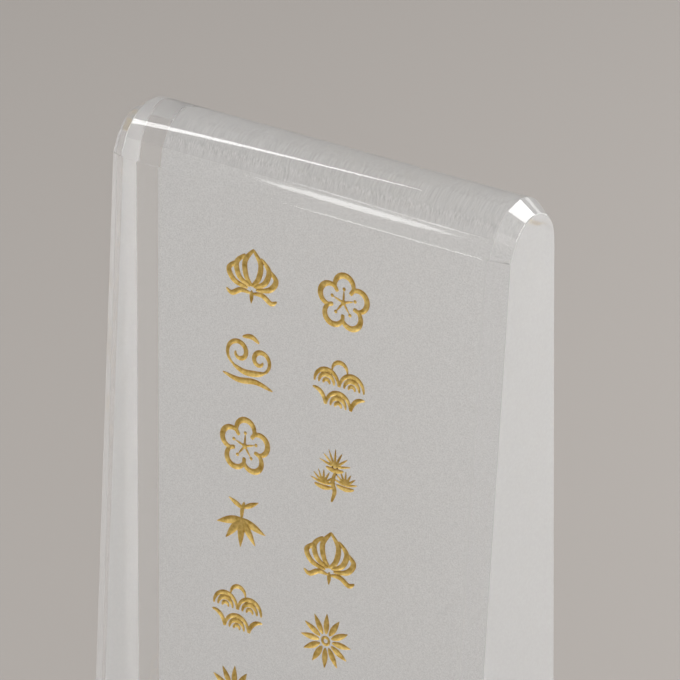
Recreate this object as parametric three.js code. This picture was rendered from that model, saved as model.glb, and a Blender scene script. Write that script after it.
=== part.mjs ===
// Crystal memorial tablet: a leaning slab of clear crystal bonded to a stepped crystal plinth.
// Millimetres, +Z up, the carved front faces -Y, and the origin is the middle of the resting plane.
import * as THREE from 'three';

// Tablet, seen from the side: upright back, round top, a narrow facet, then the leaning front.
// Side angles are those of outward normals, from the back at 0 over the top to the front.
const TABLET_WIDTH = 65;
const TABLET_HEIGHT = 136;
const TOP_RADIUS = 7;
const TOP_STEPS = 60;
const ROUND_END = THREE.MathUtils.degToRad(148.7);
const FACET_ANGLE = THREE.MathUtils.degToRad(150.7);
const FACET_LENGTH = 2.75;
const FRONT_LEAN = THREE.MathUtils.degToRad(6.9);
const FRONT_ANGLE = Math.PI - FRONT_LEAN;

// Tablet bevel: shallow, and wider on the flat front and back than over the top and the facet
const BEVEL_DEPTH = 1.65;
const FLAT_BEVEL_WIDTH = 2.9;
const TOP_BEVEL_WIDTH = 2.45;
const BEVEL_BLEND_ANGLE = THREE.MathUtils.degToRad(25);
const FACET_STOPS = [0.35, 0.7, 0.78, 0.85, 0.91, 0.96, 1];
const HOOK_START = 0.7;

// Plinth, two polished blocks
const STEP_SIZE = { width: 78, depth: 43, height: 9 };
const BASE_SIZE = { width: 92, depth: 57, height: 18 };
const PLINTH_CHAMFER = 2.2;
const PLINTH_ARRIS = 0.4;

// Clear cured adhesive under the tablet and under the step
const BOND_THICKNESS = 0.3;
const BOND_INSET = 0.8;

// Silicone bumper feet
const FOOT_RADIUS = 4.5;
const FOOT_HEIGHT = 2;
const FOOT_EDGE_RADIUS = 1;
const FOOT_EDGE_STEPS = 6;
const FOOT_SIDES = 40;
const FOOT_EDGE_MARGIN = 10;

// Levels, from the resting plane up
const BASE_BOTTOM = FOOT_HEIGHT;
const STEP_BOTTOM = BASE_BOTTOM + BASE_SIZE.height + BOND_THICKNESS;
const TABLET_BOTTOM = STEP_BOTTOM + STEP_SIZE.height + BOND_THICKNESS;

// Distances of the facet and the front from the middle of the round top
const TOP_CENTRE_Z = TABLET_HEIGHT - TOP_RADIUS;
const FACET_DISTANCE = TOP_RADIUS * Math.cos(FACET_ANGLE - ROUND_END);
const FACET_REACH = TOP_RADIUS * Math.sin(FACET_ANGLE - ROUND_END);
const FRONT_DISTANCE = FACET_DISTANCE * Math.cos(FRONT_ANGLE - FACET_ANGLE)
  + (FACET_LENGTH - FACET_REACH) * Math.sin(FRONT_ANGLE - FACET_ANGLE);

// The slab's foot is centred on the plinth, so the rounded top sits behind the middle.
const FRONT_FOOT = (FRONT_DISTANCE + TOP_CENTRE_Z * Math.sin(FRONT_LEAN)) / Math.cos(FRONT_LEAN);
const TOP_CENTRE_Y = (FRONT_FOOT - TOP_RADIUS) / 2;

function finish(color, roughness) {
  return new THREE.MeshStandardMaterial({ color, roughness, metalness: 0, flatShading: true });
}

function namedMesh(name, geometry, material) {
  const mesh = new THREE.Mesh(geometry, material);
  mesh.name = name;
  return mesh;
}

// Joins rings of points, each anticlockwise seen from the loft's far end, into one closed skin.
function loft(rings) {
  const count = rings[0].length;
  const last = (rings.length - 1) * count;
  const triangles = [];
  for (let ring = 0; ring < last; ring += count) {
    for (let i = 0; i < count; i += 1) {
      const next = (i + 1) % count;
      triangles.push(ring + i, ring + next, ring + count + next);
      triangles.push(ring + i, ring + count + next, ring + count + i);
    }
  }
  for (let i = 1; i < count - 1; i += 1) {
    triangles.push(0, i + 1, i);
    triangles.push(last, last + i, last + i + 1);
  }
  const geometry = new THREE.BufferGeometry();
  const positions = rings.flat().flatMap((point) => point.toArray());
  geometry.setAttribute('position', new THREE.Float32BufferAttribute(positions, 3));
  geometry.setIndex(triangles);
  geometry.computeVertexNormals();
  return geometry;
}

// Where the facet and the front meet, about the middle of the round top, both moved inwards by inset.
function facetFoot(inset) {
  const facet = FACET_DISTANCE - inset;
  const front = FRONT_DISTANCE - inset;
  const turn = Math.sin(FRONT_ANGLE - FACET_ANGLE);
  const y = (facet * Math.sin(FRONT_ANGLE) - front * Math.sin(FACET_ANGLE)) / turn;
  const z = (front * Math.cos(FACET_ANGLE) - facet * Math.cos(FRONT_ANGLE)) / turn;
  return new THREE.Vector2(y, z);
}

// The slab's side outline moved inwards by inset, standing square on its foot. Each point says
// how wide the bevel is there, from 0 over the top to 1 on the flat faces.
function sideOutline(inset) {
  const radius = TOP_RADIUS - inset;
  const roundEnd = FACET_ANGLE - Math.acos((FACET_DISTANCE - inset) / radius);
  const outline = [{ y: radius, z: -TOP_CENTRE_Z, flat: 1 }];
  for (let i = 0; i <= TOP_STEPS; i += 1) {
    const angle = (roundEnd * i) / TOP_STEPS;
    const blend = Math.max(0, 1 - angle / BEVEL_BLEND_ANGLE);
    outline.push({ y: radius * Math.cos(angle), z: radius * Math.sin(angle), flat: blend * blend });
  }
  const start = outline[outline.length - 1];
  const foot = facetFoot(inset);
  for (const stop of FACET_STOPS) {
    const hook = Math.max(0, (stop - HOOK_START) / (1 - HOOK_START));
    const y = THREE.MathUtils.lerp(start.y, foot.x, stop);
    const z = THREE.MathUtils.lerp(start.z, foot.y, stop);
    outline.push({ y, z, flat: 1 - Math.sqrt(1 - hook * hook) });
  }
  const bottom = foot.x - (foot.y + TOP_CENTRE_Z) * Math.tan(FRONT_LEAN);
  outline.push({ y: bottom, z: -TOP_CENTRE_Z, flat: 1 });
  return outline;
}

// An end face's outline, on the left for side -1 and on the right for side 1.
function endRing(side) {
  const x = (side * TABLET_WIDTH) / 2;
  return sideOutline(BEVEL_DEPTH).map((point) => (
    new THREE.Vector3(x, TOP_CENTRE_Y + point.y, TOP_CENTRE_Z + point.z)
  ));
}

// The full outline, where the faces meet the bevel.
function faceRing(side) {
  return sideOutline(0).map((point) => {
    const bevel = THREE.MathUtils.lerp(TOP_BEVEL_WIDTH, FLAT_BEVEL_WIDTH, point.flat);
    const x = side * (TABLET_WIDTH / 2 - bevel);
    return new THREE.Vector3(x, TOP_CENTRE_Y + point.y, TOP_CENTRE_Z + point.z);
  });
}

// The bevel runs up both front edges, over the facet and the rounded top, and down the back.
function crystalTablet() {
  const geometry = loft([endRing(-1), faceRing(-1), faceRing(1), endRing(1)]);
  geometry.translate(0, 0, TABLET_BOTTOM);
  return namedMesh('crystal_tablet', geometry, finish(0xdfe2e1, 0.03));
}

// A rectangle with its corners cut at 45 degrees; the cut corners stay put as the sides move in.
function blockRing(size, z, inset) {
  const halfWidth = size.width / 2 - inset;
  const halfDepth = size.depth / 2 - inset;
  const corner = PLINTH_CHAMFER;
  const ring = [];
  for (const [signX, signY] of [[1, -1], [1, 1], [-1, 1], [-1, -1]]) {
    const alongDepth = new THREE.Vector3(signX * halfWidth, signY * (halfDepth - corner), z);
    const alongWidth = new THREE.Vector3(signX * (halfWidth - corner), signY * halfDepth, z);
    const pair = signX * signY < 0 ? [alongWidth, alongDepth] : [alongDepth, alongWidth];
    ring.push(...pair);
  }
  return ring;
}

function plinthBlock(name, size, bottom) {
  const geometry = loft([
    blockRing(size, bottom, PLINTH_ARRIS),
    blockRing(size, bottom + PLINTH_ARRIS, 0),
    blockRing(size, bottom + size.height - PLINTH_CHAMFER, 0),
    blockRing(size, bottom + size.height, PLINTH_CHAMFER),
  ]);
  return namedMesh(name, geometry, finish(0xdfe2e1, 0.03));
}

function bondFilm(name, width, depth, centreY, bottom) {
  const geometry = new THREE.BoxGeometry(width, depth, BOND_THICKNESS);
  geometry.translate(0, centreY, bottom + BOND_THICKNESS / 2);
  return namedMesh(name, geometry, finish(0xeceeea, 0.15));
}

// The film under the tablet keeps inside the bevelled ends of the slab's foot.
function tabletBondFilm() {
  const width = TABLET_WIDTH - 2 * (FLAT_BEVEL_WIDTH + BOND_INSET);
  const depth = FRONT_FOOT + TOP_RADIUS - 2 * BOND_INSET;
  return bondFilm('bond_film_tablet', width, depth, 0, TABLET_BOTTOM - BOND_THICKNESS);
}

// The film under the step keeps inside the step's bevelled corners.
function stepBondFilm() {
  const margin = 2 * (PLINTH_CHAMFER + BOND_INSET);
  const width = STEP_SIZE.width - margin;
  const depth = STEP_SIZE.depth - margin;
  return bondFilm('bond_film_step', width, depth, 0, STEP_BOTTOM - BOND_THICKNESS);
}

// A moulded bumper: flat glued top, upright wall, rounded lower edge and flat tread.
function footProfile() {
  const flat = FOOT_RADIUS - FOOT_EDGE_RADIUS;
  const profile = [new THREE.Vector2(0, 0)];
  for (let i = 0; i <= FOOT_EDGE_STEPS; i += 1) {
    const angle = (Math.PI / 2) * (i / FOOT_EDGE_STEPS);
    const radius = flat + FOOT_EDGE_RADIUS * Math.sin(angle);
    profile.push(new THREE.Vector2(radius, FOOT_EDGE_RADIUS * (1 - Math.cos(angle))));
  }
  profile.push(new THREE.Vector2(FOOT_RADIUS, FOOT_HEIGHT));
  profile.push(new THREE.Vector2(0, FOOT_HEIGHT));
  return profile;
}

function foot(name, signX, signY) {
  const geometry = new THREE.LatheGeometry(footProfile(), FOOT_SIDES);
  geometry.rotateX(Math.PI / 2);
  const mesh = namedMesh(name, geometry, finish(0xd9dcda, 0.45));
  const x = signX * (BASE_SIZE.width / 2 - FOOT_EDGE_MARGIN);
  const y = signY * (BASE_SIZE.depth / 2 - FOOT_EDGE_MARGIN);
  mesh.position.set(x, y, 0);
  return mesh;
}

const memorialTablet = new THREE.Group();
memorialTablet.add(crystalTablet());
memorialTablet.add(tabletBondFilm());
memorialTablet.add(plinthBlock('plinth_step', STEP_SIZE, STEP_BOTTOM));
memorialTablet.add(stepBondFilm());
memorialTablet.add(plinthBlock('plinth_base', BASE_SIZE, BASE_BOTTOM));
for (const [end, signY] of [['front', -1], ['rear', 1]]) {
  for (const [side, signX] of [['left', -1], ['right', 1]]) {
    memorialTablet.add(foot(`foot_${end}_${side}`, signX, signY));
  }
}

export default memorialTablet;
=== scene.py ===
import math

import bmesh
import bpy
import numpy as np
from mathutils import Matrix, Vector
from mathutils.geometry import delaunay_2d_cdt


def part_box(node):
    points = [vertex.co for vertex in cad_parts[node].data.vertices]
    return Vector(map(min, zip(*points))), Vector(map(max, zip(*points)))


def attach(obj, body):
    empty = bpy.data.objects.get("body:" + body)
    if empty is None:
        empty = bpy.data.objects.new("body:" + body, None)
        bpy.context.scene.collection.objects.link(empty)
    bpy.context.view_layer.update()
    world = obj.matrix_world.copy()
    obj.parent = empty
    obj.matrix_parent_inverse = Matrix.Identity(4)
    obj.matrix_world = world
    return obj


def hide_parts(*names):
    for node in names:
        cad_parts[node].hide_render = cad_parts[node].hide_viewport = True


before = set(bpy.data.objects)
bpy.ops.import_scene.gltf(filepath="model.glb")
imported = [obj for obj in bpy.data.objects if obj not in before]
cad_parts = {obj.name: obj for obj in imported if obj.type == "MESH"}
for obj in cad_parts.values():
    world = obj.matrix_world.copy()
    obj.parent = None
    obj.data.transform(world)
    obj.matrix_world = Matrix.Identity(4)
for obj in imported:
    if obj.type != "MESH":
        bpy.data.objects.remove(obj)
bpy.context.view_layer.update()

# Slab, the same as the CAD one, in metres. Side angles are those of outward normals,
# from the back at 0 over the top to the front.
MM = 0.001
TOP_RADIUS = 7 * MM
ROUND_END = math.radians(148.7)
FACET_ANGLE = math.radians(150.7)
FACET_LENGTH = 2.75 * MM
FRONT_LEAN = math.radians(6.9)
FRONT_ANGLE = math.pi - FRONT_LEAN
BEVEL_DEPTH = 1.65 * MM
FLAT_BEVEL_WIDTH = 2.9 * MM
TOP_BEVEL_WIDTH = 2.45 * MM
BEVEL_BLEND_ANGLE = math.radians(25)
HOOK_START = 0.7
FACET_CROWN = 0.018 * MM
TOP_STEPS = 120
FACET_STEPS = 8
HOOK_STEPS = 10
CREASE_FADE = 1.5 * MM
INNER_RING_IN = 0.5 * MM

# Arrises, the narrow rounded edges that grinding leaves
ARRIS = 0.09 * MM
ARRIS_OVER = math.radians(10)
SHARP_OVER = math.radians(50)

# Ornament layout on the front face: two columns, rows counted from the top
ROWS = 9
ROW_PITCH = 12.6 * MM
FIRST_ROW_BELOW_TOP = 17.5 * MM
COLUMN_SPACING = 14.98 * MM
COLUMNS_MIDDLE = 0.2 * MM
ORNAMENT_SCALE = 1.12
GROOVE_DEPTH = 0.36 * MM
GOLD_TOP = 0.8
GOLD_BOTTOM = 0.98
GOLD_LEAST_DEPTH = 0.01 * MM
PATCH_HALF = 4.9 * MM
PATCH_CORNERS = [(sx * PATCH_HALF, sy * PATCH_HALF) for sx, sy in ((-1, -1), (1, -1), (1, 1), (-1, 1))]
SAMPLE = 0.11 * MM

# Mesh work: points closer than these are one, and a face within a degree of level counts as level
CLOSE = 1e-9
MERGE_WITHIN = 1e-7
LEVEL = 0.9998

# Camera, from a fit to the slab's edges in the photograph
FRAME_PIXELS = 680
FOCAL_PIXELS = 4999
SENSOR_MM = 36
CAMERA_AZIMUTH = math.radians(34.38)
CAMERA_ELEVATION = math.radians(28)
CAMERA_ROLL = math.radians(-1.207)
CAMERA_DISTANCE = 0.6914
TARGET_X = 1.02 * MM
TARGET_BELOW_TOP = 29.04 * MM

SLAB_LOW, SLAB_HIGH = (Vector(corner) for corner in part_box("crystal_tablet"))
TOP_CENTRE_Y = SLAB_HIGH.y - TOP_RADIUS
TOP_CENTRE_Z = SLAB_HIGH.z - TOP_RADIUS

# Distances of the facet and the front from the middle of the round top
FACET_DISTANCE = TOP_RADIUS * math.cos(FACET_ANGLE - ROUND_END)
FACET_REACH = TOP_RADIUS * math.sin(FACET_ANGLE - ROUND_END)
FRONT_DISTANCE = (
    FACET_DISTANCE * math.cos(FRONT_ANGLE - FACET_ANGLE)
    + (FACET_LENGTH - FACET_REACH) * math.sin(FRONT_ANGLE - FACET_ANGLE)
)


# Materials
def new_material(name):
    material = bpy.data.materials.new(name)
    material.use_nodes = True
    tree = material.node_tree
    return material, tree, tree.nodes["Principled BSDF"]


def add_node(tree, kind, **values):
    node = tree.nodes.new(kind)
    for key, value in values.items():
        setattr(node, key, value)
    return node


def object_coordinates(tree, scale):
    coordinates = add_node(tree, "ShaderNodeTexCoord")
    mapping = add_node(tree, "ShaderNodeMapping")
    mapping.inputs["Scale"].default_value = scale
    tree.links.new(coordinates.outputs["Object"], mapping.inputs["Vector"])
    return mapping.outputs["Vector"]


def noise(tree, vector, scale, detail=3):
    node = add_node(tree, "ShaderNodeTexNoise")
    node.inputs["Scale"].default_value = scale
    node.inputs["Detail"].default_value = detail
    tree.links.new(vector, node.inputs["Vector"])
    return node.outputs["Fac"]


def bump(tree, height, strength, distance, shader):
    node = add_node(tree, "ShaderNodeBump")
    node.inputs["Strength"].default_value = strength
    node.inputs["Distance"].default_value = distance
    tree.links.new(height, node.inputs["Height"])
    tree.links.new(node.outputs["Normal"], shader.inputs["Normal"])


def value_range(tree, factor, low, high):
    node = add_node(tree, "ShaderNodeMapRange")
    node.inputs["To Min"].default_value = low
    node.inputs["To Max"].default_value = high
    tree.links.new(factor, node.inputs["Value"])
    return node.outputs["Result"]


def glass_shader(name, roughness):
    material, tree, shader = new_material(name)
    shader.inputs["Base Color"].default_value = (0.985, 0.99, 0.985, 1)
    shader.inputs["Transmission Weight"].default_value = 1
    shader.inputs["IOR"].default_value = 1.517
    shader.inputs["Roughness"].default_value = roughness
    return material, tree, shader


def polished_crystal():
    material, tree, shader = glass_shader("polished_crystal", 0.05)
    vector = object_coordinates(tree, (1, 1, 1))
    bump(tree, noise(tree, vector, 60, 1), 0.02, 0.1 * MM, shader)
    return material


def scattering(tree, shader, tone, share):
    """Lets a share of the light through a rough skin in all directions, in a tone that varies."""
    glow = add_node(tree, "ShaderNodeBsdfTranslucent")
    tree.links.new(tone, shader.inputs["Base Color"])
    tree.links.new(tone, glow.inputs["Color"])
    mix = add_node(tree, "ShaderNodeMixShader")
    mix.inputs["Fac"].default_value = share
    tree.links.new(shader.outputs["BSDF"], mix.inputs[1])
    tree.links.new(glow.outputs["BSDF"], mix.inputs[2])
    tree.links.new(mix.outputs["Shader"], tree.nodes["Material Output"].inputs["Surface"])


def ground_crystal():
    """The round top: polished less well, a little milky, with fine grinding streaks across it."""
    material, tree, shader = glass_shader("ground_crystal", 0.03)
    streaks = noise(tree, object_coordinates(tree, (14, 0.12, 0.12)), 400, 1)
    bump(tree, streaks, 0.01, 0.001 * MM, shader)
    scattering(tree, shader, value_range(tree, streaks, 0.76, 1.04), 0.16)
    return material


def hazy_crystal(name, clear, share):
    """Machine-ground and then polished: a share of the light spreads in a faint fine haze."""
    material, tree, shader = glass_shader(name, 0.012)
    shader.inputs["Transmission Weight"].default_value = clear
    haze = noise(tree, object_coordinates(tree, (1, 1, 1)), 2600, 3)
    scattering(tree, shader, value_range(tree, haze, 0.88, 1.0), share)
    return material


def frosted_crystal():
    """The sand-blasted back: a fine even grain that scatters what comes through."""
    material, tree, shader = glass_shader("frosted_crystal", 0.55)
    shader.inputs["Transmission Weight"].default_value = 0.6
    grain = noise(tree, object_coordinates(tree, (1, 1, 1)), 5200, 2)
    bump(tree, grain, 0.25, 0.04 * MM, shader)
    scattering(tree, shader, value_range(tree, grain, 0.5, 0.98), 0.45)
    return material


def worn_arris():
    """The narrow edges: rounded by hand and a little matt, so they catch light as fine lines."""
    material, tree, shader = glass_shader("worn_arris", 0.06)
    wear = noise(tree, object_coordinates(tree, (1, 1, 1)), 5200, 2)
    tree.links.new(value_range(tree, wear, 0.03, 0.09), shader.inputs["Roughness"])
    return material


def bonded_face():
    """Crystal against cured adhesive of the same index: light goes straight on."""
    material, tree, shader = new_material("bonded_face")
    clear = add_node(tree, "ShaderNodeBsdfTransparent")
    clear.inputs["Color"].default_value = (0.99, 0.99, 0.985, 1)
    output = tree.nodes["Material Output"]
    tree.links.new(clear.outputs["BSDF"], output.inputs["Surface"])
    tree.nodes.remove(shader)
    return material


def gold_paint():
    """Gold paint in the grooves, brushed in by hand: satin, a little uneven in tone and thickness."""
    material, tree, shader = new_material("gold_paint")
    vector = object_coordinates(tree, (1, 1, 1))
    ramp = add_node(tree, "ShaderNodeValToRGB")
    ramp.color_ramp.elements[0].position = 0.3
    ramp.color_ramp.elements[0].color = (0.52, 0.32, 0.06, 1)
    ramp.color_ramp.elements[1].position = 0.72
    ramp.color_ramp.elements[1].color = (0.92, 0.68, 0.24, 1)
    tree.links.new(noise(tree, vector, 1400, 4), ramp.inputs["Fac"])
    tree.links.new(ramp.outputs["Color"], shader.inputs["Base Color"])
    shader.inputs["Metallic"].default_value = 0.75
    grain = noise(tree, vector, 5200, 3)
    tree.links.new(value_range(tree, grain, 0.3, 0.5), shader.inputs["Roughness"])
    bump(tree, grain, 0.6, 0.06 * MM, shader)
    return material


def silicone():
    material, tree, shader = new_material("clear_silicone")
    shader.inputs["Base Color"].default_value = (0.86, 0.88, 0.87, 1)
    shader.inputs["Transmission Weight"].default_value = 0.55
    shader.inputs["IOR"].default_value = 1.41
    vector = object_coordinates(tree, (1, 1, 1))
    grain = noise(tree, vector, 2600, 2)
    tree.links.new(value_range(tree, grain, 0.34, 0.5), shader.inputs["Roughness"])
    bump(tree, grain, 0.2, 0.03 * MM, shader)
    return material


def adhesive():
    """The film's thin edge, with the faint bubbles and haze of cured glue."""
    material, tree, shader = glass_shader("cured_adhesive", 0.1)
    vector = object_coordinates(tree, (1, 1, 1))
    haze = noise(tree, vector, 1500, 3)
    tree.links.new(value_range(tree, haze, 0.05, 0.3), shader.inputs["Roughness"])
    return material


BONDED = bonded_face()
GOLD = gold_paint()
SILICONE = silicone()
ADHESIVE = adhesive()
CRYSTAL_FINISHES = (
    polished_crystal(), frosted_crystal(), ground_crystal(), BONDED, worn_arris(),
    hazy_crystal("bevel_crystal", 0.93, 0.12), hazy_crystal("end_crystal", 0.82, 0.25),
)
POLISHED_SLOT, FROSTED_SLOT, GROUND_SLOT, BONDED_SLOT, ARRIS_SLOT, BEVEL_SLOT, END_SLOT = range(7)


# Ornament strokes: each is a list of (x, y, half width) in millimetres about the motif's middle
def swell(t, low, high):
    return low + (high - low) * math.sin(math.pi * t) ** 0.8


def path(points, low=0.14, high=0.4, steps=14):
    """A brush stroke along a smooth curve through given points, thin at its ends."""
    spans = len(points) - 1
    stroke = []
    for i in range(steps * spans + 1):
        t = i / (steps * spans)
        span = min(int(t * spans), spans - 1)
        u = t * spans - span
        before, a, b, after = (points[min(max(span + k, 0), spans)] for k in (-1, 0, 1, 2))
        x, y = (catmull(before[k], a[k], b[k], after[k], u) for k in (0, 1))
        stroke.append((x, y, swell(t, low, high)))
    return stroke


def catmull(p0, p1, p2, p3, u):
    return 0.5 * (
        2 * p1
        + (p2 - p0) * u
        + (2 * p0 - 5 * p1 + 4 * p2 - p3) * u * u
        + (3 * p1 - p0 - 3 * p2 + p3) * u ** 3
    )


def arc(x, y, radius, start, end, low=0.16, high=0.34, steps=28):
    """Part of a circle, with angles in degrees."""
    stroke = []
    for i in range(steps + 1):
        t = i / steps
        angle = math.radians(start + (end - start) * t)
        stroke.append((x + radius * math.cos(angle), y + radius * math.sin(angle), swell(t, low, high)))
    return stroke


def dot(x, y, radius):
    return [(x, y, radius), (x, y + 0.01, radius)]


def leaf(x, y, angle, length, half_width, steps=18):
    """A filled pointed leaf that starts at x, y and points along angle, in degrees."""
    direction = math.radians(angle)
    stroke = []
    for i in range(steps + 1):
        t = i / steps
        reach = length * t
        width = 0.05 + (half_width - 0.05) * math.sin(math.pi * t ** 0.8)
        stroke.append((x + reach * math.cos(direction), y + reach * math.sin(direction), width))
    return stroke


def spiral(x, y, outer, inner, start, turn, low=0.16, high=0.34, steps=40):
    stroke = []
    for i in range(steps + 1):
        t = i / steps
        angle = math.radians(start + turn * t)
        radius = outer + (inner - outer) * t
        stroke.append((x + radius * math.cos(angle), y + radius * math.sin(angle), swell(t, low, high)))
    return stroke


def around(count, make, start=90):
    return [stroke for k in range(count) for stroke in make(start + 360 * k / count)]


def polar(angle, radius):
    return radius * math.cos(math.radians(angle)), radius * math.sin(math.radians(angle))


def mirrored(strokes):
    return strokes + [[(-x, y, w) for x, y, w in stroke] for stroke in strokes]


def plum_blossom():
    def petal(angle):
        x, y = polar(angle, 2.15)
        tip = polar(angle, 1.75)
        return [arc(x, y, 1.35, angle - 128, angle + 128, 0.18, 0.4), leaf(0, 0, angle, 1.55, 0.16), dot(*tip, 0.24)]
    return around(5, petal) + [dot(0, 0, 0.38)]


def lotus():
    half = [
        path([(0, 3.4), (1.15, 1.7), (0.9, -0.2), (0, -1.3)]),
        path([(1.25, 2.5), (2.4, 1.2), (1.9, -0.5), (0.4, -1.4)]),
        path([(2.3, 1.4), (3.5, 0.2), (2.6, -1.2), (0.7, -1.7)]),
        path([(0.1, -2.3), (1.6, -2.2), (2.9, -2.9), (3.7, -2.5)], 0.1, 0.36),
    ]
    return mirrored(half) + [leaf(0, -1.9, -90, 1.7, 0.3)]


def cloud_scroll():
    return [
        spiral(-1.5, 0.9, 1.9, 0.5, 250, -420),
        spiral(1.7, 0.5, 1.6, 0.45, 290, 400),
        path([(-2.2, -0.95), (-0.6, -1.5), (1.2, -1.35), (2.3, -1.0)], 0.16, 0.42),
        path([(-3.7, -2.3), (-1.4, -2.75), (1.2, -2.45), (3.7, -3.0)], 0.08, 0.4),
        path([(-1.0, 3.1), (0.3, 3.35), (1.4, 2.8)], 0.1, 0.34),
    ]


def bamboo_leaves():
    fan = [leaf(0, 1.5, angle, 3.9, 0.52) for angle in (200, 235, 270, 305, 340)]
    stem = [path([(0.3, 3.7), (0.05, 2.7), (0, 1.6)], 0.14, 0.3)]
    return fan + stem + [leaf(0.2, 3.0, 30, 2.6, 0.34), leaf(0.1, 2.9, 155, 2.4, 0.34)]


def waves():
    strokes = []
    for x, y in ((-1.85, 0.35), (1.85, 0.35), (0, -2.35)):
        strokes += [arc(x, y, radius, 180, 0, 0.14, 0.32) for radius in (1.75, 1.1)]
        strokes.append(arc(x, y, 0.45, 180, 0, 0.14, 0.26))
    strokes.append(arc(-3.7, -2.35, 1.75, 90, 0, 0.14, 0.32))
    strokes.append(arc(3.7, -2.35, 1.75, 90, 180, 0.14, 0.32))
    return strokes + [arc(0, 2.35, 1.1, 180, 0, 0.12, 0.3)]


def pine():
    strokes = []
    for x, y, reach in ((-1.55, -1.7, 2.0), (1.65, -1.1, 1.9), (0, 0.9, 2.4)):
        strokes += [leaf(x, y, angle, reach, 0.17) for angle in range(15, 180, 25)]
        strokes.append(path([(x - 1.2, y - 0.25), (x, y - 0.45), (x + 1.2, y - 0.25)], 0.12, 0.32))
    strokes.append(path([(0.1, 0.3), (-0.2, -1.2), (0.15, -2.3), (-0.2, -3.7)], 0.12, 0.34))
    return strokes


def linked_rings():
    centres = [polar(angle, 1.75) for angle in (45, 135, 225, 315)]
    return [arc(x, y, 1.9, 0, 360, 0.26, 0.26, 48) for x, y in centres] + [dot(0, 0, 0.3)]


def chrysanthemum():
    def petal(angle):
        x, y = polar(angle, 0.95)
        return [leaf(x, y, angle, 2.75, 0.42)]
    return around(12, petal) + [arc(0, 0, 0.5, 0, 360, 0.2, 0.2, 24)]


def tortoise_shell():
    strokes = []
    for radius, width in ((3.6, 0.3), (2.5, 0.2)):
        corners = [polar(90 + 60 * k, radius) for k in range(7)]
        for (ax, ay), (bx, by) in zip(corners, corners[1:]):
            strokes.append([(ax, ay, width), (bx, by, width)])
    return strokes + around(6, lambda angle: [leaf(0, 0, angle, 1.55, 0.3)], 60)


LEFT_COLUMN = (
    lotus, cloud_scroll, plum_blossom, bamboo_leaves, waves, chrysanthemum, pine, linked_rings, tortoise_shell,
)
RIGHT_COLUMN = (
    plum_blossom, waves, pine, lotus, chrysanthemum, cloud_scroll, tortoise_shell, bamboo_leaves, linked_rings,
)


def stroke_distance(strokes, x, y):
    """Signed distance in metres to the strokes' outline, below zero inside."""
    result = np.full(x.shape, 1.0)
    unit = ORNAMENT_SCALE * MM
    for stroke in strokes:
        for (ax, ay, aw), (bx, by, bw) in zip(stroke, stroke[1:]):
            ax, ay, aw, bx, by, bw = (value * unit for value in (ax, ay, aw, bx, by, bw))
            dx, dy = bx - ax, by - ay
            t = np.clip(((x - ax) * dx + (y - ay) * dy) / (dx * dx + dy * dy + 1e-14), 0, 1)
            away = np.hypot(x - ax - t * dx, y - ay - t * dy) - (aw + t * (bw - aw))
            result = np.minimum(result, away)
    return result


def groove_depth(distance):
    """A blasted groove: steep walls that round off into the floor."""
    inside = np.clip(-distance, 0, None)
    return GROOVE_DEPTH * (1 - np.exp(-inside / (0.21 * MM)))


def outline_loops(field, axis):
    """The zero lines of a sampled field, as points and the edges between them."""
    points, keys, edges = [], {}, []

    def crossing(i, j, horizontal):
        key = (i, j, horizontal)
        if key not in keys:
            a = field[j, i]
            b = field[j, i + 1] if horizontal else field[j + 1, i]
            t = min(max(a / (a - b), 0.04), 0.96)
            x = axis[i] + (SAMPLE * t if horizontal else 0)
            y = axis[j] + (0 if horizontal else SAMPLE * t)
            keys[key] = len(points)
            points.append((x, y))
        return keys[key]

    inside = field < 0
    corner_sum = inside[:-1, :-1] * 1 + inside[:-1, 1:] * 2 + inside[1:, 1:] * 4 + inside[1:, :-1] * 8
    for j, i in zip(*np.nonzero((corner_sum > 0) & (corner_sum < 15))):
        sides = {
            "low": lambda: crossing(i, j, True),
            "right": lambda: crossing(i + 1, j, False),
            "high": lambda: crossing(i, j + 1, True),
            "left": lambda: crossing(i, j, False),
        }
        for a, b in CELL_LINES[int(corner_sum[j, i])]:
            edges.append((sides[a](), sides[b]()))
    return points, edges


# Which sides of a cell the outline joins, by which of its corners lie inside
CELL_LINES = {
    1: (("left", "low"),),
    2: (("low", "right"),),
    3: (("left", "right"),),
    4: (("right", "high"),),
    5: (("left", "low"), ("right", "high")),
    6: (("low", "high"),),
    7: (("left", "high"),),
    8: (("high", "left"),),
    9: (("high", "low"),),
    10: (("low", "right"), ("high", "left")),
    11: (("high", "right"),),
    12: (("right", "left"),),
    13: (("right", "low"),),
    14: (("low", "left"),),
}


def ornament(strokes):
    """Triangles of one square patch of the face: points, triangles and which of them lie in a groove."""
    count = int(2 * PATCH_HALF / SAMPLE)
    axis = -PATCH_HALF + SAMPLE * (0.5 + np.arange(count))
    x, y = np.meshgrid(axis, axis)
    field = stroke_distance(strokes, x, y)
    points, edges = outline_loops(field, axis)
    outline_count = len(points)
    deep = field < -0.45 * SAMPLE
    points += list(zip(x[deep], y[deep]))
    first = len(points)
    points += PATCH_CORNERS
    edges += [(first + k, first + (k + 1) % 4) for k in range(4)]
    plan = [Vector(point) for point in points]
    places, _, triangles, origin, _, _ = delaunay_2d_cdt(plan, edges, [], 0, CLOSE)
    places = np.array([tuple(place) for place in places])
    triangles = np.array(triangles)
    depths = groove_depth(stroke_distance(strokes, places[:, 0], places[:, 1]))
    on_outline = np.array([any(k < outline_count for k in source) for source in origin])
    depths[on_outline] = 0
    middles = places[triangles].mean(axis=1)
    inside = stroke_distance(strokes, middles[:, 0], middles[:, 1]) < 0
    grooved = inside | (depths[triangles] > 0).any(axis=1)
    return places, triangles, grooved, depths


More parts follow.
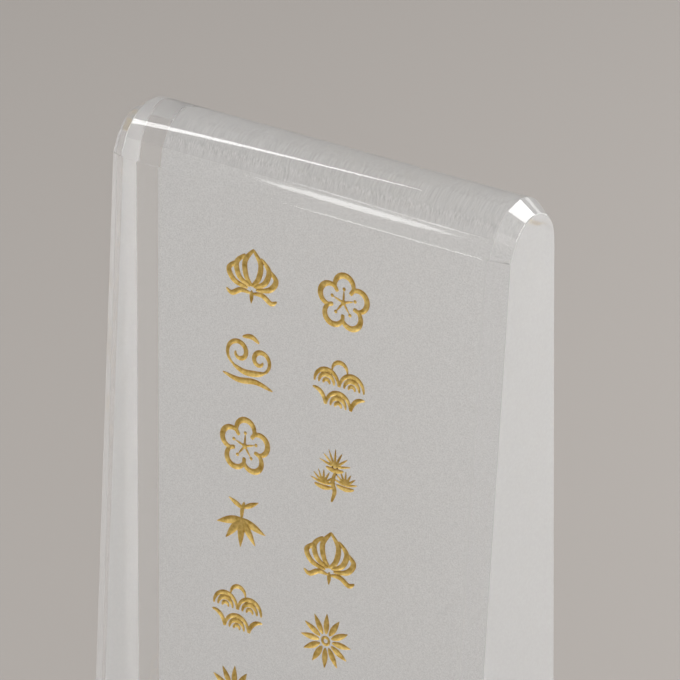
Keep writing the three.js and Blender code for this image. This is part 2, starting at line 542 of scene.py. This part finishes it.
# The front face's own frame: right along +X, up the leaning face, out towards the viewer
FACE_RIGHT = Vector((1, 0, 0))
FACE_UP = Vector((0, math.sin(FRONT_LEAN), math.cos(FRONT_LEAN)))
FACE_OUT = Vector((0, -math.cos(FRONT_LEAN), math.sin(FRONT_LEAN)))
FACE_ORIGIN = Vector((0, TOP_CENTRE_Y, TOP_CENTRE_Z)) + FACE_OUT * FRONT_DISTANCE


def on_face(x, y, height=0.0):
    return FACE_ORIGIN + FACE_RIGHT * x + FACE_UP * y + FACE_OUT * height


def face_coordinates(point):
    offset = point - FACE_ORIGIN
    return offset.dot(FACE_RIGHT), offset.dot(FACE_UP)


def motif_places():
    """(strokes maker, x, y on the face, column name) for every ornament."""
    top = SLAB_HIGH.z - FIRST_ROW_BELOW_TOP
    for column, motifs in (("left", LEFT_COLUMN), ("right", RIGHT_COLUMN)):
        side = -0.5 if column == "left" else 0.5
        x = COLUMNS_MIDDLE + side * COLUMN_SPACING
        for row, motif in enumerate(motifs[:ROWS]):
            height = top - row * ROW_PITCH
            yield motif, x, (height - FACE_ORIGIN.z) / FACE_UP.z, column


def facet_foot(inset):
    """Where the facet and the front meet, about the middle of the round top, both moved inwards."""
    facet = FACET_DISTANCE - inset
    front = FRONT_DISTANCE - inset
    turn = math.sin(FRONT_ANGLE - FACET_ANGLE)
    y = (facet * math.sin(FRONT_ANGLE) - front * math.sin(FACET_ANGLE)) / turn
    z = (front * math.cos(FACET_ANGLE) - facet * math.cos(FRONT_ANGLE)) / turn
    return y, z


def facet_stops():
    """Shares of the facet's length and how wide the bevel is there: even, then a quarter round."""
    stops = [(HOOK_START * i / FACET_STEPS, 0) for i in range(1, FACET_STEPS + 1)]
    for i in range(1, HOOK_STEPS + 1):
        turn = math.pi / 2 * i / HOOK_STEPS
        stops.append((HOOK_START + (1 - HOOK_START) * math.sin(turn), 1 - math.cos(turn)))
    return stops


def side_outline(inset):
    """The side outline moved inwards, as (y, z, flat), with flat from 0 over the top to 1 on the flats."""
    radius = TOP_RADIUS - inset
    round_end = FACET_ANGLE - math.acos((FACET_DISTANCE - inset) / radius)
    bottom = SLAB_LOW.z - TOP_CENTRE_Z
    outline = [(radius, bottom, 1)]
    for i in range(TOP_STEPS + 1):
        angle = round_end * i / TOP_STEPS
        blend = max(0, 1 - angle / BEVEL_BLEND_ANGLE)
        outline.append((radius * math.cos(angle), radius * math.sin(angle), blend ** 2))
    start_y, start_z, _ = outline[-1]
    foot_y, foot_z = facet_foot(inset)
    for stop, flat in facet_stops():
        crown = 4 * FACET_CROWN * stop * (1 - stop)
        y = start_y + (foot_y - start_y) * stop + crown * math.cos(FACET_ANGLE)
        z = start_z + (foot_z - start_z) * stop + crown * math.sin(FACET_ANGLE)
        outline.append((y, z, flat))
    for below in (CREASE_FADE, foot_z - bottom):
        outline.append((foot_y - below * math.tan(FRONT_LEAN), foot_z - below, 1))
    return outline


def end_ring(side):
    """An end face's outline, on the left for side -1 and on the right for side 1."""
    x = side * SLAB_HIGH.x
    return [Vector((x, TOP_CENTRE_Y + y, TOP_CENTRE_Z + z)) for y, z, _ in side_outline(BEVEL_DEPTH)]


def face_ring(side):
    """The full outline, where the faces meet the bevel."""
    ring = []
    for y, z, flat in side_outline(0):
        bevel = TOP_BEVEL_WIDTH + (FLAT_BEVEL_WIDTH - TOP_BEVEL_WIDTH) * flat
        ring.append(Vector((side * (SLAB_HIGH.x - bevel), TOP_CENTRE_Y + y, TOP_CENTRE_Z + z)))
    return ring


def inner_ring(side):
    """The full outline a little inside the bevel, so that the long arrises stay straight between."""
    x = side * (SLAB_HIGH.x - FLAT_BEVEL_WIDTH - INNER_RING_IN)
    return [Vector((x, TOP_CENTRE_Y + y, TOP_CENTRE_Z + z)) for y, z, _ in side_outline(0)]


def slab_finish(i, count, on_bevel):
    """The finish of the slab's skin after point i of its outline."""
    if i == count - 1:
        return POLISHED_SLOT
    if on_bevel:
        return BEVEL_SLOT
    if i == 0:
        return FROSTED_SLOT
    return GROUND_SLOT if i <= TOP_STEPS else POLISHED_SLOT


def slab_shell():
    """The slab as a bmesh of flat facets with its arrises worked in."""
    mesh = bmesh.new()
    outlines = (end_ring(-1), face_ring(-1), inner_ring(-1), inner_ring(1), face_ring(1), end_ring(1))
    rings = [[mesh.verts.new(point) for point in outline] for outline in outlines]
    count = len(rings[0])
    bands = list(zip(rings, rings[1:]))
    for near, far in bands:
        for i in range(count):
            k = (i + 1) % count
            face = mesh.faces.new((near[i], near[k], far[k], far[i]))
            face.material_index = slab_finish(i, count, near is rings[0] or far is rings[-1])
    for end in (list(reversed(rings[0])), rings[-1]):
        mesh.faces.new(end).material_index = END_SLOT
    facet_top = [mesh.edges.get((near[TOP_STEPS + 1], far[TOP_STEPS + 1])) for near, far in bands[1:-1]]
    crease = count - 3
    soft = [mesh.edges.get((near[crease], far[crease])) for near, far in (bands[0], bands[-1])]
    work_arrises(mesh, facet_top, soft)
    foot = max((face for face in mesh.faces if face.normal.z < -LEVEL), key=lambda face: face.calc_area())
    bond_patch(mesh, foot, "bond_film_tablet")
    return mesh


def work_arrises(mesh, also=[], soft=[]):
    """Rounds every edge that turns by more than a little and those also named, but no soft one."""
    mesh.normal_update()
    edges = [edge for edge in mesh.edges if edge.calc_face_angle() > ARRIS_OVER and edge not in soft]
    bmesh.ops.bevel(
        mesh, geom=edges + also, offset=ARRIS, segments=2, affect="EDGES", profile=0.5,
        material=ARRIS_SLOT,
    )
    mesh.normal_update()


def bond_patch(mesh, face, film_node):
    """Cuts a film's outline into a level face, and makes what lies inside it one with the glue."""
    low, high = (Vector(corner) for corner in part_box(film_node))
    rim = list(face.verts)
    count = len(rim)
    level = rim[0].co.z
    upward = face.normal.z > 0
    bmesh.ops.delete(mesh, geom=[face], context="FACES_ONLY")
    corners = ((low.x, low.y), (high.x, low.y), (high.x, high.y), (low.x, high.y))
    points = rim + [mesh.verts.new((x, y, level)) for x, y in corners]
    edges = [(k, (k + 1) % count) for k in range(count)]
    edges += [(count + k, count + (k + 1) % 4) for k in range(4)]
    plan = [Vector(point.co.xy) for point in points]
    _, _, triangles, origin, _, _ = delaunay_2d_cdt(plan, edges, [], 0, CLOSE)
    for triangle in triangles:
        ids = [origin[k][0] for k in triangle]
        order = ids if upward else ids[::-1]
        part = mesh.faces.new([points[k] for k in order])
        part.material_index = BONDED_SLOT if min(ids) >= count else POLISHED_SLOT
    mesh.normal_update()


def make_object(name, vertices, faces, materials, slots=None):
    mesh = bpy.data.meshes.new(name)
    mesh.from_pydata(vertices, [], faces)
    for material in materials:
        mesh.materials.append(material)
    if slots is not None:
        mesh.polygons.foreach_set("material_index", slots)
    mesh.update()
    obj = bpy.data.objects.new(name, mesh)
    bpy.context.collection.objects.link(obj)
    return obj


def shade(obj):
    """Smooth shading, but sharp at steep turns and where two finishes meet, so flat faces stay flat."""
    mesh = bmesh.new()
    mesh.from_mesh(obj.data)
    bmesh.ops.remove_doubles(mesh, verts=mesh.verts, dist=MERGE_WITHIN)
    for face in mesh.faces:
        face.smooth = True
    for edge in mesh.edges:
        finishes = {face.material_index for face in edge.link_faces}
        edge.smooth = len(finishes) == 1 and edge.calc_face_angle(0) <= SHARP_OVER
    mesh.to_mesh(obj.data)
    mesh.free()


def crystal_tablet():
    """The slab with its ornaments carved into the leaning front, and the gold that lies in them."""
    shell = slab_shell()
    facing = (face for face in shell.faces if face.normal.dot(FACE_OUT) > LEVEL)
    front = max(facing, key=lambda face: face.calc_area())
    outer = [Vector(face_coordinates(vert.co)) for vert in front.verts]
    bmesh.ops.delete(shell, geom=[front], context="FACES_ONLY")
    shell.verts.index_update()
    vertices = [vert.co.copy() for vert in shell.verts]
    faces = [[vert.index for vert in face.verts] for face in shell.faces]
    slots = [face.material_index for face in shell.faces]
    shell.free()

    gold = {"left": [], "right": []}
    border = len(outer)
    face_points = list(outer)
    face_edges = [(k, (k + 1) % border) for k in range(border)]
    middles = []
    for motif, x, y, column in motif_places():
        places, triangles, grooved, depths = ornament(motif())
        base = len(vertices)
        vertices += [on_face(x + px, y + py, -depth) for (px, py), depth in zip(places, depths)]
        faces += [[base + int(k) for k in triangle] for triangle in triangles]
        slots += [BONDED_SLOT if carved else POLISHED_SLOT for carved in grooved]
        gold[column].append((x, y, places, triangles[grooved], depths))
        middles.append((x, y))
        first = len(face_points)
        face_points += [Vector((x + sx, y + sy)) for sx, sy in PATCH_CORNERS]
        face_edges += [(first + k, first + (k + 1) % 4) for k in range(4)]
    places, _, triangles, _, _, _ = delaunay_2d_cdt(face_points, face_edges, [], 0, CLOSE)
    base = len(vertices)
    vertices += [on_face(*place) for place in places]
    for triangle in triangles:
        middle = sum((places[k] for k in triangle), Vector((0, 0))) / 3
        if any(max(abs(middle.x - x), abs(middle.y - y)) < PATCH_HALF for x, y in middles):
            continue
        faces.append([base + k for k in triangle])
        slots.append(POLISHED_SLOT)
    obj = make_object("crystal_tablet_carved", vertices, faces, CRYSTAL_FINISHES, slots)
    shade(obj)
    return obj, gold


def gold_column(name, parts):
    """The paint in one column's grooves: a closed skin that lines each groove and thins to its rim."""
    vertices, faces = [], []
    for x, y, places, triangles, depths in parts:
        deep = depths > GOLD_LEAST_DEPTH
        top = {}
        bottom = {}
        for k in np.unique(triangles):
            top[k] = len(vertices)
            vertices.append(on_face(x + places[k][0], y + places[k][1], -GOLD_TOP * depths[k]))
            bottom[k] = top[k]
            if deep[k]:
                bottom[k] = len(vertices)
                vertices.append(on_face(x + places[k][0], y + places[k][1], -GOLD_BOTTOM * depths[k]))
        for triangle in triangles:
            if deep[triangle].any():
                faces.append([top[k] for k in triangle])
                faces.append([bottom[k] for k in reversed(triangle)])
    obj = make_object(name, vertices, faces, [GOLD])
    shade(obj)
    return obj


def finished(obj, slot, *nodes):
    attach(obj, "root")
    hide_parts(*nodes)


tablet, gold_parts = crystal_tablet()
finished(tablet, "crystal", "crystal_tablet")
for side, parts in gold_parts.items():
    inlay = gold_column(f"gilding_{side}_column", parts)
    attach(inlay, "root")


def refined_block(name, node, film_above, film_below=None):
    """A plinth block with its arrises, and the patches where glue holds it to the pieces next to it."""
    mesh = bmesh.new()
    mesh.from_mesh(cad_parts[node].data)
    bmesh.ops.remove_doubles(mesh, verts=mesh.verts, dist=MERGE_WITHIN)
    bmesh.ops.dissolve_limit(mesh, angle_limit=math.radians(1), verts=mesh.verts, edges=mesh.edges)
    work_arrises(mesh)
    for film, sign in ((film_above, 1), (film_below, -1)):
        if film is None:
            continue
        level = max((face for face in mesh.faces if sign * face.normal.z > LEVEL), key=lambda face: face.calc_area())
        bond_patch(mesh, level, film)
    data = bpy.data.meshes.new(name)
    mesh.to_mesh(data)
    mesh.free()
    for material in CRYSTAL_FINISHES:
        data.materials.append(material)
    obj = bpy.data.objects.new(name, data)
    bpy.context.collection.objects.link(obj)
    shade(obj)
    return obj


step = refined_block("plinth_step_polished", "plinth_step", "bond_film_tablet", "bond_film_step")
finished(step, "crystal", "plinth_step")
base = refined_block("plinth_base_polished", "plinth_base", "bond_film_step")
finished(base, "crystal", "plinth_base")


def film_edge(name, node):
    """A cured film: clear faces against the crystal, and a slightly hazy edge all round."""
    low, high = (Vector(corner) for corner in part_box(node))
    corners = ((low.x, low.y), (high.x, low.y), (high.x, high.y), (low.x, high.y))
    vertices = [Vector((x, y, z)) for z in (low.z, high.z) for x, y in corners]
    faces = [[3, 2, 1, 0], [4, 5, 6, 7]]
    faces += [[k, (k + 1) % 4, (k + 1) % 4 + 4, k + 4] for k in range(4)]
    return make_object(name, vertices, faces, [BONDED, ADHESIVE], [0, 0, 1, 1, 1, 1])


finished(film_edge("bond_film_tablet_clear", "bond_film_tablet"), "clear_adhesive", "bond_film_tablet")
finished(film_edge("bond_film_step_clear", "bond_film_step"), "clear_adhesive", "bond_film_step")


def bumper(name, node):
    """A moulded silicone foot: finer than the CAD one, with a faint dished tread."""
    low, high = (Vector(corner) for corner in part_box(node))
    middle = (low + high) / 2
    radius = (high.x - low.x) / 2
    edge = 1.0 * MM
    seat_gap = 0.02 * MM
    profile = [(0, 0.1 * MM), (radius * 0.4, 0.06 * MM), (radius * 0.62, 0)]
    for i in range(9):
        angle = math.pi / 2 * i / 8
        profile.append((radius - edge + edge * math.sin(angle), edge * (1 - math.cos(angle))))
    profile += [(radius, high.z - low.z - 0.2 * MM), (radius - 0.1 * MM, high.z - low.z - seat_gap), (0, high.z - low.z - seat_gap)]
    sides = 64
    vertices, faces = [Vector((middle.x, middle.y, low.z + profile[0][1]))], []
    for r, z in profile[1:-1]:
        for k in range(sides):
            angle = 2 * math.pi * k / sides
            vertices.append(Vector((middle.x + r * math.cos(angle), middle.y + r * math.sin(angle), low.z + z)))
    vertices.append(Vector((middle.x, middle.y, low.z + profile[-1][1])))
    last = len(vertices) - 1
    rings = len(profile) - 2
    for k in range(sides):
        n = (k + 1) % sides
        faces.append([0, 1 + n, 1 + k])
        for ring in range(rings - 1):
            a = 1 + ring * sides
            b = a + sides
            faces.append([a + k, a + n, b + n, b + k])
        a = 1 + (rings - 1) * sides
        faces.append([a + k, a + n, last])
    obj = make_object(name, vertices, faces, [SILICONE])
    shade(obj)
    return obj


for end in ("front", "rear"):
    for side in ("left", "right"):
        node = f"foot_{end}_{side}"
        finished(bumper(f"bumper_{end}_{side}", node), "clear_silicone", node)


# Floor, backdrop and light
def backdrop():
    """A floor that sweeps up into a backdrop behind the tablet."""
    material, tree, shader = new_material("pale_backdrop")
    shader.inputs["Base Color"].default_value = (0.32, 0.298, 0.28, 1)
    shader.inputs["Roughness"].default_value = 0.9
    steps = 24
    radius = 0.5
    reach = 1.6
    profile = [(-1.8, 0)] + [
        (reach + radius * math.sin(math.pi / 2 * i / steps), radius * (1 - math.cos(math.pi / 2 * i / steps)))
        for i in range(steps + 1)
    ] + [(reach + radius, 2.6)]
    turn = Matrix.Rotation(CAMERA_AZIMUTH, 3, "Z")
    vertices = [turn @ Vector((x, y, z)) for y, z in profile for x in (-2.6, 2.6)]
    faces = [[2 * i, 2 * i + 1, 2 * i + 3, 2 * i + 2] for i in range(len(profile) - 1)]
    obj = make_object("backdrop", vertices, faces, [material])
    shade(obj)


def area_light(name, place, length_along, length, width, radiance, shape="RECTANGLE"):
    """A soft lamp at a place, given from the middle of the slab's rounded top, which it faces."""
    light = bpy.data.lights.new(name, "AREA")
    light.shape = shape
    light.size = length
    light.size_y = width
    area = length * width * (math.pi / 4 if shape == "ELLIPSE" else 1)
    light.energy = radiance * math.pi * area
    obj = bpy.data.objects.new(name, light)
    obj.visible_camera = False
    bpy.context.collection.objects.link(obj)
    away = Vector(place).normalized()
    across = away.cross(Vector(length_along)).normalized()
    pose = Matrix((across.cross(away), across, away)).transposed().to_4x4()
    pose.translation = Vector((0, TOP_CENTRE_Y, TOP_CENTRE_Z)) + Vector(place)
    obj.matrix_world = pose
    return obj


def studio():
    area_light("strip_upper_left", (-0.352, -0.118, 0.498), (0.308, 0.945, 0.112), 0.48, 0.019, 12, "ELLIPSE")
    area_light("window_behind_right", (0.33, 0.59, 0.73), (-0.3, 0.59, -0.35), 0.76, 0.16, 12)
    area_light("backlight", (0.19, 0.5, 0.03), (1, 0, 0), 0.4, 0.3, 2)
    area_light("overhead", (0.0, -0.3, 1.7), (1, 0, 0), 1.4, 1.4, 0.7)
    area_light("fill_front_right", (0.7, -1.2, 1.1), (0.8, 0.6, 0), 1.2, 1.0, 1.1)
    area_light("softbox_far_left", (-0.93, -0.126, 0.362), (0.05, 0.57, 0.34), 0.75, 0.25, 4)
    area_light("softbox_right", (1.0, 0.15, 0.4), (0, 1, 0), 0.6, 0.5, 10.5)
    area_light("facet_glint", (-0.293, -0.4605, 0.2565), (1, -0.22, 0.085), 0.05, 0.014, 8, "ELLIPSE")
    area_light("kink_glint", (-0.2865, -0.437, 0.294), (1, -0.76, -0.71), 0.063, 0.016, 6)
    area_light("crease_glint", (-0.281, -0.525, 0.055), (1, -0.23, 0.02), 0.053, 0.19, 6)
    world = bpy.data.worlds.new("studio")
    world.use_nodes = True
    world.node_tree.nodes["Background"].inputs["Color"].default_value = (1.0, 0.985, 0.965, 1)
    world.node_tree.nodes["Background"].inputs["Strength"].default_value = 0.42
    bpy.context.scene.world = world


def photograph_camera():
    back = Vector((
        math.sin(CAMERA_AZIMUTH) * math.cos(CAMERA_ELEVATION),
        -math.cos(CAMERA_AZIMUTH) * math.cos(CAMERA_ELEVATION),
        math.sin(CAMERA_ELEVATION),
    ))
    right = Vector((math.cos(CAMERA_AZIMUTH), math.sin(CAMERA_AZIMUTH), 0))
    up = back.cross(right)
    across = right * math.cos(CAMERA_ROLL) + up * math.sin(CAMERA_ROLL)
    upward = up * math.cos(CAMERA_ROLL) - right * math.sin(CAMERA_ROLL)
    target = Vector((TARGET_X, TOP_CENTRE_Y, SLAB_HIGH.z - TARGET_BELOW_TOP))
    camera = bpy.data.cameras.new("camera")
    camera.sensor_width = SENSOR_MM
    camera.lens = SENSOR_MM * FOCAL_PIXELS / FRAME_PIXELS
    camera.clip_start = 0.01
    obj = bpy.data.objects.new("camera", camera)
    bpy.context.collection.objects.link(obj)
    pose = Matrix((across, upward, back)).transposed().to_4x4()
    pose.translation = target + back * CAMERA_DISTANCE
    obj.matrix_world = pose
    bpy.context.scene.camera = obj


backdrop()
studio()
photograph_camera()
bpy.context.scene.view_settings.view_transform = "Standard"
